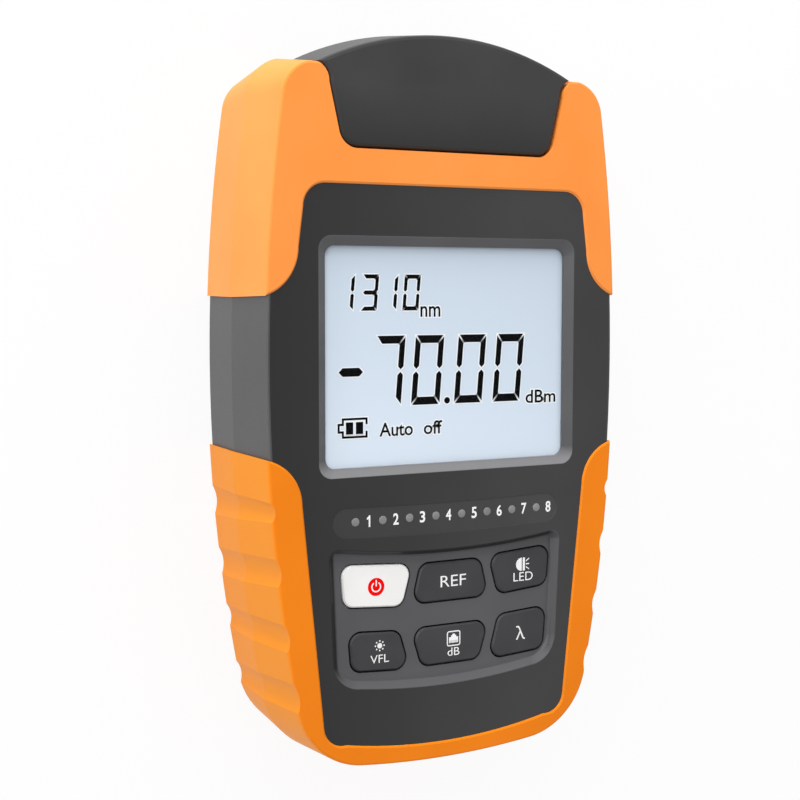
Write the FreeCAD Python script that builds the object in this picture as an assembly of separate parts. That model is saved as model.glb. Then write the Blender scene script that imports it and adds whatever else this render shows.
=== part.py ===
import FreeCAD, Part
import math
import os

# Handheld optical power meter lying on its back, millimetres.
# X runs to the right, Y along the body to the capped end, Z out of the display side.

# Thickness of the body and the levels through it
frontOfBumper = 26.2
ridgeLevel = 13.0
skinProud = 0.3
frontWall = 2.5
backWall = 2.4
skinThickness = 1.2
shellWall = 2.0
edgeRounding = 0.4

# Outline of the body at its front edge, right half, and how much it grows to the ridge
lengthShift = -0.175
bodyHalfWidth = 32.4
widestAt = 6.8
sideRadius = 289.0
bottomEnd = -59.6
bottomRadius = 145.0
bottomInset = 16.3
cornerTop = -49.0
earShoulder = 49.2
earTop = 53.75
earTopShare = 0.24
earCrown = 1.0
ridgeGrow = 1.1
backGrow = 0.5
bumperGrow = 0.45

gripDepth = 0.6

# Bare front panel between the two bumpers
panelTop = 35.55
topBand = 6.2
panelTopRadius = 3.8
upperSweep = 8.0
upperSideEdge = 17.5
upperBand = 5.4
lowerSideEdge = -7.6
lowerSweep = 7.8
lowerBand = 5.85
lowBand = 9.5
panelLowCorner = -52.4
panelLowRadius = 3.5
panelBottom = -57.2
panelBottomRadius = 95.0
panelCornerRun = 3.9

# Dark face panel let into the shell
facePanelThickness = 1.0
facePanelInset = 0.45

# Dust cap and the neck it slides over
capFront = 25.9
capBack = 0.3
capBottom = 41.4
capBottomHalf = 17.0
capBottomRadius = 3.0
capLowHalf = 19.85
capLowHeight = 44.0
capShoulder = 54.35
capFlareGap = 0.45
capApex = 59.9
capCrown = 2.0
capCrownShare = 0.75
capWall = 1.7
slideGap = 0.3
pocketHalf = 21.8
pocketStraight = 51.2
pocketFlare = 2.1
pocketFlareRadius = 3.0
pocketLean = 0.7
neckHalf = 15.9
neckEnd = 46.4
neckWall = 1.2

# Display window
displayOffset = 0.45
bezelSide = 8.3
bezelLow = -11.4
bezelHigh = 27.4
bezelRadius = 2.3
bezelSlope = 0.9
glassBorder = 1.5
glassLow = -10.0
glassHigh = 25.8
glassRadius = 1.7
lensThickness = 0.6
lensAirGap = 0.1
panelGlassThickness = 2.3
panelGlassInset = 0.7
backlightThickness = 1.5
connectorWidth = 1.5
connectorInset = 2.0
backlightInset = 0.4

# Main board
boardThickness = 1.6
boardInset = 3.9
boardEnd = 37.4
boardRib = 2.0
upperRibInset = 6.1
upperRibY = 20.0
lowerRibInset = 8.0
lowerRibY = -30.0

# Indicator strip
stripDepth = 0.35
stripLow = -21.8
stripHigh = -16.5
stripSide = 10.9
stripEndRun = 2.6
stripEndRadius = 2.65
indicatorMargin = 4.245
indicatorCount = 8
indicatorLine = -18.7
indicatorRadius = 0.75
indicatorLampHeight = 0.8

# Tray round the keys, and the keys
recessDepth = 1.2
recessWallRun = 1.0
recessTop = -24.5
recessTopCorner = -23.05
recessSide = 10.5
recessTaper = 0.7
recessCornerRun = 4.9
recessCornerRadius = 5.0
recessTopInset = 1.5
recessTopRadius = 1.6
recessBottomRadius = 112.0
recessLowCorner = -41.5
recessBottom = -47.4
trayRim = 0.15
trayFlange = 0.9
trayFlangeThickness = 0.8
keySide = 1.9
keyRadius = 1.9
keyGap = 0.3
keyFlange = 0.7
keyEdge = 0.25
keyProud = 0.3
keyFlangeThickness = 0.8
keyTravel = 0.8
domeSheetThickness = 0.3
domeHalf = 2.5
domeRise = 0.15

# Ends that hold the ports
portWallFront = 45.2
portWallThickness = 1.6
portLevel = 12.0
opticalPortX = 5.4
opticalTube = 2.9
opticalNut = 4.1
opticalReach = 52.5
knurlTeeth = 16
nutThickness = 2.6
ferruleBore = 1.25
locatorX = 12.2
locatorLevel = 9.0
locatorTube = 1.9
locatorFlange = 2.35
locatorReach = 51.5
lampX = 12.0
lampLevel = 18.3
lampRadius = 2.3
jackX = -6.7
jackWidth = 15.0
jackLength = 19.7
jackLow = 5.5
socketWidth = 11.8
socketHeight = 6.8
socketDepth = 13.0
contactDroop = 1.6
contactReach = 6.0

# Cells, their door and the screws
cellRadius = 5.25
cellLength = 44.5
cellPitch = 11.0
cellStart = -38.0
cellLevel = 7.75
contactRoom = 2.2
plateThickness = 0.4
doorHalf = 17.3
doorLow = -46.5
doorHigh = 9.6
doorThickness = 1.9
doorGap = 0.15
trayTop = 14.4
upperScrewInset = 10.0
upperScrewY = 31.8
lowerScrewInset = 14.4
lowerScrewY = -49.5
caseBossRadius = 3.2
caseHeadRadius = 2.3
caseHeadHeight = 1.6
caseShankRadius = 1.25
caseScrewDepth = 3.0
caseScrewGrip = 6.0

bottomHalf = bodyHalfWidth - bottomInset
panelTopHalf = bodyHalfWidth - topBand
upperSweepX = bodyHalfWidth - upperBand
lowerSweepX = bodyHalfWidth - lowerBand
panelLowHalf = bodyHalfWidth - lowBand
panelBottomHalf = panelLowHalf - panelCornerRun
bezelHalf = bodyHalfWidth - bezelSide
glassHalf = bezelHalf - glassBorder
panelGlassHalf = bezelHalf - panelGlassInset
stripHalf = bodyHalfWidth - stripSide
indicatorPitch = 2 * (stripHalf - indicatorMargin) / (indicatorCount - 1)
recessTopHalf = bodyHalfWidth - recessSide
recessLowHalf = recessTopHalf - recessTaper
recessCornerHalf = recessLowHalf - recessCornerRun
recessCornerLow = recessBottom + recessCornerHalf ** 2 / 2 / recessBottomRadius
keyReach = recessTopHalf - keySide
earInner = pocketHalf + pocketFlare
capRise = capApex - capShoulder
capTopRadius = ((earInner - capFlareGap) ** 2 + capRise ** 2) / 2 / capRise
caseScrewPlaces = (
    (bodyHalfWidth - upperScrewInset, upperScrewY),
    (bodyHalfWidth - lowerScrewInset, lowerScrewY),
)
boardRibPlaces = (
    (bodyHalfWidth - upperRibInset, upperRibY),
    (bodyHalfWidth - lowerRibInset, lowerRibY),
)
beyond = 2 * (capApex - bottomEnd)

panelLevel = frontOfBumper - skinProud
panelBack = panelLevel - facePanelThickness
backLevel = skinProud
innerFront = panelLevel - frontWall
innerBack = backLevel + backWall
lensTop = panelLevel - bezelSlope
lensBack = lensTop - lensThickness
displayTop = lensBack - lensAirGap
displayBack = displayTop - panelGlassThickness
boardTop = displayBack - backlightThickness
boardBack = boardTop - boardThickness
recessFloor = panelLevel - recessDepth
portFloor = portWallFront - portWallThickness


def point(x, y, z=0.0):
    return FreeCAD.Vector(x, y, z)


def turned(vector, angle):
    c = math.cos(angle)
    s = math.sin(angle)
    return point(vector.x * c - vector.y * s, vector.x * s + vector.y * c)


def edgeNormals(start, end, radius):
    # Outward normals at both ends of a line or arc, outline running anticlockwise
    chord = end - start
    normal = point(chord.y, -chord.x).normalize()
    if radius is None:
        return normal, normal
    half = math.asin(chord.Length / 2 / radius)
    return turned(normal, -half), turned(normal, half)


def grown(half, amount):
    # Right half of an outline moved outward by an amount; it starts and ends on the Y axis
    start, steps = half
    points = [point(*start)] + [point(*end) for end, radius in steps]
    radii = [radius for end, radius in steps]
    normals = [edgeNormals(points[i], points[i + 1], radii[i]) for i in range(len(radii))]
    before = [point(0, math.copysign(1, normals[0][0].y))] + [n[1] for n in normals]
    after = [n[0] for n in normals] + [point(0, math.copysign(1, normals[-1][1].y))]
    moved = []
    for place, first, second in zip(points, before, after):
        moved.append(place + (first + second) * (amount / (1 + first.dot(second))))
    moved[0].x = 0.0
    moved[-1].x = 0.0
    newRadii = [None if radius is None else radius + amount for radius in radii]
    return moved, newRadii


def outline(half, level, amount=0.0):
    # Closed wire at a level: the right half and its mirror image
    points, radii = grown(half, amount)
    right = []
    for start, end, radius in zip(points, points[1:], radii):
        middle = None
        if radius is not None:
            chord = end - start
            reach = math.sqrt(radius * radius - chord.Length ** 2 / 4)
            sagitta = radius - math.copysign(reach, radius)
            middle = (start + end) * 0.5 + point(chord.y, -chord.x).normalize() * sagitta
        right.append((start, middle, end))
    left = []
    for start, middle, end in reversed(right):
        mirrored = [None if p is None else point(-p.x, p.y) for p in (end, middle, start)]
        left.append(tuple(mirrored))
    edges = []
    for start, middle, end in right + left:
        rise = point(0, 0, level)
        if middle is None:
            edges.append(Part.LineSegment(start + rise, end + rise).toShape())
        else:
            edges.append(Part.Arc(start + rise, middle + rise, end + rise).toShape())
    return Part.Wire(edges)


def stacked(half, levels):
    # Solid through outlines at (level, growth) pairs
    return Part.makeLoft([outline(half, level, amount) for level, amount in levels], True, True)


def roundedLevels(low, high, lowGrow, middleGrow, highGrow, rounding):
    # Levels of a body with a ridge, its front and back edges rounded in steps
    levels = []
    for step in range(3):
        angle = math.radians(45 * step)
        levels.append((low + rounding * (1 - math.sin(angle)), lowGrow - rounding * (1 - math.cos(angle))))
    levels.reverse()
    levels.append((ridgeLevel, middleGrow))
    for step in range(3):
        angle = math.radians(45 * step)
        levels.append((high - rounding * (1 - math.sin(angle)), highGrow - rounding * (1 - math.cos(angle))))
    return levels


def block(x0, x1, y0, y1, z0, z1):
    return Part.makeBox(x1 - x0, y1 - y0, z1 - z0, point(x0, y0, z0))


def post(x, y, low, high, radius):
    return Part.makeCylinder(radius, high - low, point(x, y, low), point(0, 0, 1))


def rod(x, z, start, end, radius):
    return Part.makeCylinder(radius, end - start, point(x, start, z), point(0, 1, 0))


def window(halfWidth, low, high, radius, bottom, top):
    # Upright block with rounded corners, centred on the display
    box = block(displayOffset - halfWidth, displayOffset + halfWidth, low, high, bottom, top)
    upright = [e for e in box.Edges if abs(e.Vertexes[0].X - e.Vertexes[1].X) < 1e-6
               and abs(e.Vertexes[0].Y - e.Vertexes[1].Y) < 1e-6]
    return box.makeFillet(radius, upright)


def windowWire(halfWidth, low, high, radius, level):
    box = window(halfWidth, low, high, radius, level, level + 1)
    face = min(box.Faces, key=lambda f: f.CenterOfMass.z)
    return face.OuterWire


def joined(solids):
    whole = solids[0]
    for solid in solids[1:]:
        whole = whole.fuse(solid)
    return whole


def bothSides(places):
    return [(side * x, y) for x, y in places for side in (-1, 1)]


def sideAt(y):
    # Half width of the body's front edge along its side arc
    return bodyHalfWidth - (y - widestAt) ** 2 / 2 / sideRadius


def tangentRadius(start, end, leanX, leanY):
    # Radius of the arc that leaves start square to an outward direction and reaches end
    chord = point(*end) - point(*start)
    outward = point(leanX, leanY).normalize()
    return chord.Length ** 2 / 2 / -outward.dot(chord)


def bodyHalfAt(crown):
    # Right half of the body's outline, its ears raised by a crown
    shoulder = (sideAt(earShoulder + crown), earShoulder + crown)
    ear = (earInner + earTopShare * (shoulder[0] - earInner), earTop + crown)
    return (
        (0.0, bottomEnd),
        [
            (bottomPoint, bottomRadius),
            (cornerPoint, cornerRadius),
            ((bodyHalfWidth, widestAt), sideRadius),
            (shoulder, sideRadius),
            (ear, tangentRadius(shoulder, ear, sideRadius, shoulder[1] - widestAt)),
            ((0.0, earTop + crown), None),
        ],
    )


bottomPoint = (bottomHalf, bottomEnd + bottomHalf ** 2 / 2 / bottomRadius)
cornerPoint = (sideAt(cornerTop), cornerTop)
cornerRadius = tangentRadius(bottomPoint, cornerPoint, bottomHalf, -bottomRadius)
bodyHalf = bodyHalfAt(0.0)

panelHalf = (
    (0.0, panelBottom),
    [
        ((panelBottomHalf, panelBottom + panelBottomHalf ** 2 / 2 / panelBottomRadius), panelBottomRadius),
        ((panelLowHalf, panelLowCorner), panelLowRadius),
        ((lowerSweepX, lowerSideEdge - lowerSweep), None),
        ((lowerSweepX + lowerSweep, lowerSideEdge), -lowerSweep),
        ((bodyHalfWidth + lowerSweep, lowerSideEdge), None),
        ((bodyHalfWidth + lowerSweep, upperSideEdge), None),
        ((upperSweepX + upperSweep, upperSideEdge), None),
        ((upperSweepX, upperSideEdge + upperSweep), -upperSweep),
        ((panelTopHalf, panelTop - panelTopRadius), None),
        ((panelTopHalf - panelTopRadius, panelTop), panelTopRadius),
        ((0.0, panelTop), None),
    ],
)


def capHalf(crown):
    return (
        (0.0, capBottom),
        [
            ((capBottomHalf, capBottom), None),
            ((capLowHalf, capLowHeight), capBottomRadius),
            ((pocketHalf - slideGap, pocketStraight), None),
            ((earInner - capFlareGap, capShoulder + crown * capCrownShare), -pocketFlareRadius - slideGap),
            ((0.0, capApex + crown), capTopRadius),
        ],
    )


capCavityHalf = (
    (0.0, capBottom - 2),
    [
        ((neckHalf + slideGap, capBottom - 2), None),
        ((neckHalf + slideGap, neckEnd + 0.6), None),
        ((pocketHalf - capWall - 0.7, capShoulder - 0.9), None),
        ((pocketHalf - capWall - 1.7, capShoulder + 0.7), 2.0),
        ((0.0, capApex - capWall), capTopRadius),
    ],
)

pocketOutline = (
    (0.0, capBottom - slideGap),
    [
        ((capBottomHalf + 0.1, capBottom - slideGap), None),
        ((capLowHalf + slideGap, capLowHeight - 0.1), capBottomRadius + slideGap),
        ((pocketHalf, pocketStraight), None),
        ((earInner, earTop + bumperGrow), -pocketFlareRadius),
        ((earInner + pocketLean, capApex + capShoulder - capBottom), None),
        ((0.0, capApex + capShoulder - capBottom), None),
    ],
)

stripHalfOutline = (
    (0.0, stripLow),
    [
        ((stripHalf - stripEndRun, stripLow + 0.4), 450.0),
        ((stripHalf, (stripLow + stripHigh) / 2 + 0.35), stripEndRadius),
        ((stripHalf - stripEndRun, stripHigh + 0.3), stripEndRadius),
        ((0.0, stripHigh), -600.0),
    ],
)

recessHalf = (
    (0.0, recessBottom),
    [
        ((recessCornerHalf, recessCornerLow), recessBottomRadius),
        ((recessLowHalf, recessLowCorner), recessCornerRadius),
        ((recessTopHalf, recessTopCorner - recessTopInset), None),
        ((recessTopHalf - recessTopInset, recessTopCorner), recessTopRadius),
        ((0.0, recessTop), -139.0),
    ],
)

# Keys by their corners, clockwise from the upper left: share of the reach to the side, and place
keyShares = {
    "power_key": ((-0.9725, -25.85), (-0.3225, -26.7), (-0.415, -33.6), (-0.945, -32.8)),
    "reference_key": ((-0.236, -26.9), (0.33, -26.9), (0.407, -33.4), (-0.313, -33.4)),
    "lamp_key": ((0.4245, -26.55), (1.025, -25.7), (0.9975, -32.5), (0.517, -33.3)),
    "fault_locator_key": ((-0.9, -37.2), (-0.445, -37.8), (-0.3475, -44.3), (-0.873, -43.6)),
    "loss_key": ((-0.3205, -37.75), (0.4145, -37.75), (0.317, -44.15), (-0.223, -44.15)),
    "wavelength_key": ((0.5215, -37.1), (0.9945, -36.5), (0.967, -43.8), (0.424, -44.5)),
}
keyCorners = {name: [(share * keyReach, y) for share, y in corners] for name, corners in keyShares.items()}


def keyWire(corners, level, amount):
    # Four-cornered outline with round corners, grown outward by an amount
    places = [point(x, y, level) for x, y in corners]
    ring = Part.makePolygon(places + places[:1])
    return ring.makeOffset2D(-keyRadius, 2).makeOffset2D(keyRadius + amount)


def keyBlock(corners, low, high, amount):
    return Part.Face(keyWire(corners, low, amount)).extrude(point(0, 0, high - low))


def indicatorPlaces():
    first = -indicatorPitch * (indicatorCount - 1) / 2
    return [(first + indicatorPitch * i, indicatorLine) for i in range(indicatorCount)]


def ridgeShare(level):
    # 1 at the ridge, falling to 0 at the front and the back
    return max(0.0, 1 - abs(level - ridgeLevel) / (panelLevel - ridgeLevel))


def outerEnvelope():
    low = bumperGrow + backGrow
    high = bumperGrow
    levels = roundedLevels(0.0, frontOfBumper, low, bumperGrow + ridgeGrow, high, edgeRounding)
    wires = [outline(bodyHalfAt(earCrown * ridgeShare(level)), level, amount) for level, amount in levels]
    return Part.makeLoft(wires, True, True)


def greyEnvelope():
    edge = edgeRounding / 2
    levels = [(backLevel, backGrow - edge), (backLevel + edge, backGrow), (ridgeLevel, ridgeGrow)]
    return stacked(bodyHalf, levels + [(panelLevel - edge, 0), (panelLevel, -edge)])


def innerEnvelope():
    amount = -skinThickness
    return stacked(bodyHalf, [(skinThickness, amount + backGrow), (frontOfBumper - skinThickness, amount)])


def cavity():
    amount = -skinThickness - shellWall
    space = stacked(bodyHalf, [(innerBack, amount + backGrow), (innerFront, amount)])
    end = capBottom - slideGap - skinThickness - shellWall
    return space.common(block(-beyond, beyond, -beyond, end, 0, beyond))


def neck(inset):
    low = capBack + capWall + slideGap
    high = capFront - capWall - slideGap
    half = neckHalf - inset
    return block(-half, half, capBottom - 6, neckEnd + inset, low + inset, high - inset)


def pocket(amount):
    return stacked(pocketOutline, [(-2, amount), (frontOfBumper + 2, amount)])


def panelMask():
    edge = skinProud + 0.1
    return stacked(panelHalf, [(-0.1, edge), (backLevel, 0), (panelLevel, 0), (frontOfBumper + 0.1, edge)])


def shellCore():
    core = innerEnvelope().cut(pocket(skinThickness))
    core = core.fuse(greyEnvelope().common(panelMask()))
    return core.fuse(neck(0))


def sideHalfWidth(y, level):
    part = min(level, ridgeLevel) / ridgeLevel
    grow = backGrow + (ridgeGrow - backGrow) * part
    if level > ridgeLevel:
        grow = ridgeGrow * (frontOfBumper - level) / (frontOfBumper - ridgeLevel)
    return sideAt(y) + bumperGrow + grow


def gripScallop(side, frontTop, frontLength, slant, backLength):
    # Shallow hollow across the side wall, sharper at its upper end
    wires = []
    for level, share in ((-1.0, 0.0), (ridgeLevel, 0.5), (frontOfBumper + 1, 1.0)):
        top = frontTop - slant * (1 - share)
        length = backLength + (frontLength - backLength) * share
        places = []
        for along, sink in ((0.0, -0.2), (0.35, gripDepth), (1.0, -0.2)):
            y = top - length * along
            places.append(point(side * (sideHalfWidth(y, level) - sink), y, level))
        hollow = Part.Arc(*places).toShape()
        outside = [places[2], places[2] + point(side * 3, 0), places[0] + point(side * 3, 0), places[0]]
        lines = [Part.LineSegment(a, b).toShape() for a, b in zip(outside, outside[1:])]
        wires.append(Part.Wire([hollow] + lines))
    return Part.makeLoft(wires, True, True)


def makeBumpers(core):
    sleeve = outerEnvelope().cut(pocket(0)).cut(panelMask())
    sleeve = sleeve.cut(innerEnvelope().cut(pocket(skinThickness))).cut(neck(0))
    upper = sleeve.common(block(-beyond, beyond, 0, beyond, -beyond, beyond))
    lower = sleeve.common(block(-beyond, beyond, -beyond, 0, -beyond, beyond))
    grips = ((-14.4, 3.4, 0.1, 5.9), (-23.2, 5.1, 2.3, 5.6), (-33.8, 5.2, 1.9, 4.6), (-43.5, 5.7, 2.6, 4.7))
    for side in (-1, 1):
        for grip in grips:
            lower = lower.cut(gripScallop(side, *grip))
    return upper, lower


def makeFrontShell(core):
    shell = core.cut(cavity()).cut(neck(neckWall))
    shell = shell.cut(neckMouth())
    shell = shell.common(block(-beyond, beyond, -beyond, beyond, ridgeLevel, beyond))
    for x, y in bothSides(caseScrewPlaces):
        shell = shell.fuse(post(x, y, ridgeLevel, innerFront, caseBossRadius))
        shell = shell.cut(post(x, y, ridgeLevel, ridgeLevel + caseScrewGrip, caseShankRadius))
    shell = shell.fuse(boardRibs(boardTop, innerFront + 0.5))
    shell = shell.cut(facePanelBlank())
    shell = shell.cut(window(bezelHalf, bezelLow, bezelHigh, bezelRadius, innerFront - 1, panelLevel + 1))
    shell = shell.cut(trayBlank())
    for x, y in indicatorPlaces():
        shell = shell.cut(post(x, y, innerFront - 1, panelLevel + 1, indicatorRadius))
    return shell


def facePanelBlank():
    slab = stacked(bodyHalf, [(panelBack, -facePanelInset), (panelLevel, -facePanelInset)])
    return slab.common(panelMask())


def makeFacePanel():
    panel = facePanelBlank()
    panel = panel.cut(window(bezelHalf, bezelLow, bezelHigh, bezelRadius, panelBack - 1, panelLevel + 1))
    panel = panel.cut(stacked(stripHalfOutline, [(panelLevel - stripDepth, -0.5), (panelLevel + 0.1, 0.05)]))
    panel = panel.cut(stacked(recessHalf, [(panelBack - 1, trayRim), (panelLevel + 1, trayRim)]))
    for x, y in indicatorPlaces():
        panel = panel.cut(post(x, y, panelBack - 1, panelLevel + 1, indicatorRadius))
    return panel


def trayBlank():
    # Tray round the keys, with a flange held under the face panel
    wall = stacked(recessHalf, [(innerFront, trayRim), (panelLevel, trayRim)])
    low = panelBack - trayFlangeThickness
    return wall.fuse(stacked(recessHalf, [(low, trayFlange), (panelBack, trayFlange)]))


def makeKeyTray():
    tray = trayBlank().cut(stacked(recessHalf, [(recessFloor, -recessWallRun), (panelLevel + 0.1, 0.1)]))
    for corners in keyCorners.values():
        tray = tray.cut(keyBlock(corners, innerFront - 1, panelLevel + 1, keyGap))
    return tray


def boardRibs(low, high):
    # Ribs that hold the board between the two shells
    half = boardRib / 2
    places = bothSides(boardRibPlaces)
    return joined([block(x - half, x + half, y - boardRib, y + boardRib, low, high) for x, y in places])


def neckMouth():
    # Way from the cavity into the neck
    inner = neck(neckWall)
    box = inner.BoundBox
    return block(box.XMin, box.XMax, boardEnd - 2, neckEnd + 1, box.ZMin, box.ZMax)


def makeRearShell(core):
    shell = core.cut(cavity()).cut(neckMouth())
    shell = shell.common(block(-beyond, beyond, -beyond, beyond, -beyond, ridgeLevel))
    wall = 1.4
    trayHalf = cellPitch + cellRadius + 0.2
    low = cellEnds()[0] - plateThickness
    high = cellEnds()[1] + plateThickness
    tray = block(-trayHalf - wall, trayHalf + wall, low - wall, high + wall, innerBack - 0.5, trayTop)
    tray = tray.cut(block(-trayHalf, trayHalf, low, high, 0, cellLevel + cellRadius + 0.15))
    shell = shell.fuse(tray)
    ledge = backLevel + doorThickness
    shell = shell.fuse(block(-doorHalf - 1, doorHalf + 1, doorLow - 1.2, low, innerBack - 0.5, ledge + 1.6))
    shell = shell.fuse(boardRibs(innerBack - 0.5, boardBack))
    shell = shell.fuse(post(0, doorScrewY(), ledge, trayTop - 2, 2.8))
    shell = shell.cut(post(0, doorScrewY(), ledge, trayTop - 3, 1.0))
    shell = shell.cut(block(-trayHalf, trayHalf, low, high, -1, cellLevel))
    half = doorHalf + doorGap
    shell = shell.cut(block(-half, half, doorLow - doorGap, doorHigh + doorGap, -1, ledge))
    for x, y in bothSides(caseScrewPlaces):
        shell = shell.fuse(post(x, y, innerBack - 0.5, ridgeLevel, caseBossRadius))
        shell = shell.cut(post(x, y, -1, backLevel + caseScrewDepth, caseHeadRadius + 0.2))
        shell = shell.cut(post(x, y, 0, ridgeLevel + 1, caseShankRadius + 0.2))
    return shell


def doorScrewY():
    return (doorLow + cellStart - 4.0) / 2


def makeDoor():
    door = block(-doorHalf, doorHalf, doorLow, doorHigh, backLevel, backLevel + doorThickness)
    upright = [e for e in door.Edges if abs(e.Vertexes[0].Z - e.Vertexes[1].Z) > 1]
    door = door.makeFillet(0.6, upright)
    door = door.cut(post(0, doorScrewY(), -1, backLevel + 1.1, 2.0))
    door = door.cut(post(0, doorScrewY(), -1, 5, 1.1))
    for i in range(5):
        door = door.cut(block(-6, 6, 1.5 + i * 1.4, 2.2 + i * 1.4, -1, backLevel + 0.5))
    return door


def screw(x, y, seat, headRadius, headHeight, shankRadius, length):
    # Pan-head screw driven from behind: head below its seat, shank above it
    bottom = seat - headHeight
    head = post(x, y, bottom, seat, headRadius)
    rim = [e for e in head.Edges if e.BoundBox.ZMax < bottom + 0.01]
    head = head.makeChamfer(headHeight * 0.3, rim)
    return head.fuse(post(x, y, seat, seat + length, shankRadius))


def crossed(screwShape, x, y, bottom, reach, depth):
    for a, b in ((reach, reach * 0.26), (reach * 0.26, reach)):
        screwShape = screwShape.cut(block(x - a, x + a, y - b, y + b, bottom, bottom + depth))
    return screwShape


def makeCaseScrews():
    seat = backLevel + caseScrewDepth
    length = ridgeLevel + caseScrewGrip - 0.5 - seat
    screws = []
    for x, y in bothSides(caseScrewPlaces):
        body = screw(x, y, seat, caseHeadRadius, caseHeadHeight, caseShankRadius, length)
        bottom = seat - caseHeadHeight
        screws.append(crossed(body, x, y, bottom, caseHeadRadius * 0.62, caseHeadHeight * 0.55))
    return screws


def makeDoorScrew():
    seat = backLevel + 1.1
    body = screw(0, doorScrewY(), seat, 1.8, 0.9, 1.0, 7.5)
    return crossed(body, 0, doorScrewY(), seat - 0.9, 1.1, 0.5)


def makeCap():
    sections = []
    for level, amount in roundedLevels(capBack, capFront, 0, 0, 0, 0.6):
        sections.append(outline(capHalf(capCrown * ridgeShare(level)), level, amount))
    hood = Part.makeLoft(sections, True, True)
    hollow = stacked(capCavityHalf, [(capBack + capWall, 0), (capFront - capWall, 0)])
    return hood.cut(hollow)


def makeBezel():
    frame = window(bezelHalf, bezelLow, bezelHigh, bezelRadius, lensBack, panelLevel)
    slope = Part.makeLoft([windowWire(glassHalf, glassLow, glassHigh, glassRadius, lensTop),
                           windowWire(bezelHalf - 0.1, bezelLow + 0.1, bezelHigh - 0.1, bezelRadius - 0.1,
                                      panelLevel)], True, True)
    frame = frame.cut(slope)
    return frame.cut(window(glassHalf, glassLow, glassHigh, glassRadius, displayTop, lensTop + 0.001))


def makeLens():
    return window(glassHalf, glassLow, glassHigh, glassRadius, lensBack, lensTop)


def displayEnds():
    return bezelLow + 0.5, bezelHigh - 0.5


def makeDisplay():
    low, high = displayEnds()
    return window(panelGlassHalf, low, high, bezelRadius - 0.7, displayBack, displayTop)


def makeConnectors():
    low, high = displayEnds()
    left = displayOffset - panelGlassHalf + connectorInset
    right = displayOffset + panelGlassHalf - connectorInset
    return [block(left, right, start, start + connectorWidth, boardTop, displayBack)
            for start in (low, high - connectorWidth)]


def makeBacklight():
    low, high = displayEnds()
    inset = connectorWidth + 0.3
    left = displayOffset - panelGlassHalf + backlightInset
    right = displayOffset + panelGlassHalf - backlightInset
    return block(left, right, low + inset, high - inset, boardTop, displayBack)


def makeBoard():
    board = stacked(bodyHalf, [(boardBack, -boardInset), (boardTop, -boardInset)])
    board = board.common(block(-beyond, beyond, -beyond, boardEnd, boardBack, boardTop))
    for x, y in bothSides(caseScrewPlaces):
        board = board.cut(post(x, y, boardBack - 1, boardTop + 1, caseBossRadius + 0.3))
    return board


def makeChips():
    places = ((-8.0, -14.0, 4.5, 1.1), (8.5, -16.0, 3.2, 1.3),
              (14.0, 14.0, 2.6, 1.4), (-18.0, 12.0, 2.2, 1.4))
    return [block(x - h, x + h, y - h, y + h, boardBack - t, boardBack) for x, y, h, t in places]


def makeDomeSheet():
    half = recessTopHalf - 1
    sheet = block(-half, half, recessBottom + 1.4, recessTop + 0.3, boardTop, boardTop + domeSheetThickness)
    for corners in keyCorners.values():
        x, y = keyCentre(corners)
        top = boardTop + domeSheetThickness + domeRise
        sheet = sheet.fuse(block(x - domeHalf, x + domeHalf, y - domeHalf, y + domeHalf, boardTop, top))
    return sheet


def keyCentre(corners):
    return sum(x for x, y in corners) / 4, sum(y for x, y in corners) / 4


def makeKey(corners):
    # Cap with an eased top edge above a flange that stays under the recess floor
    top = recessFloor + keyProud
    flangeTop = innerFront - keyGap
    flangeLow = flangeTop - keyFlangeThickness
    key = keyBlock(corners, flangeLow, top - keyEdge, 0)
    rim = [keyWire(corners, top - keyEdge, 0), keyWire(corners, top, -keyEdge)]
    key = key.fuse(Part.makeLoft(rim, True, True))
    places = [point(x, y, flangeLow) for x, y in corners]
    flange = Part.makePolygon(places + places[:1]).makeOffset2D(keyFlange, 2)
    key = key.fuse(Part.Face(flange).extrude(point(0, 0, keyFlangeThickness)))
    x, y = keyCentre(corners)
    return key.fuse(block(x - 1.4, x + 1.4, y - 1.4, y + 1.4, flangeLow - 0.4, flangeLow))


def makeLightPipes():
    top = panelLevel - stripDepth + 0.12
    return [post(x, y, boardTop + indicatorLampHeight, top, indicatorRadius) for x, y in indicatorPlaces()]


def makeIndicatorLamps():
    top = boardTop + indicatorLampHeight
    return [block(x - 0.8, x + 0.8, y - 0.5, y + 0.5, boardTop, top) for x, y in indicatorPlaces()]


def jackBox():
    return jackX - jackWidth / 2, jackX + jackWidth / 2


def makePortWall():
    low = capBack + capWall + slideGap + neckWall
    high = capFront - capWall - slideGap - neckWall
    half = neckHalf - neckWall
    wall = block(-half, half, portFloor, portWallFront, low, high)
    left, right = jackBox()
    wall = wall.cut(block(left, right, 0, 60, jackLow, boardBack))
    wall = wall.cut(rod(opticalPortX, portLevel, 0, 60, opticalTube))
    wall = wall.cut(rod(locatorX, locatorLevel, 0, 60, locatorTube))
    return wall.cut(rod(lampX, lampLevel, 0, 60, lampRadius))


def makeJack():
    left, right = jackBox()
    start = portWallFront - jackLength
    jack = block(left, right, start, portWallFront, jackLow, boardBack)
    back = portWallFront - socketDepth
    half = socketWidth / 2
    low = (jackLow + boardBack) / 2 - socketHeight / 2
    jack = jack.cut(block(jackX - half, jackX + half, back, 60, low, low + socketHeight))
    jack = jack.cut(block(jackX - 3.1, jackX + 3.1, back, 60, low - 1.6, low))
    return jack.cut(block(jackX - 1.7, jackX + 1.7, back, 60, low - 2.9, low - 1.6))


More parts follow.
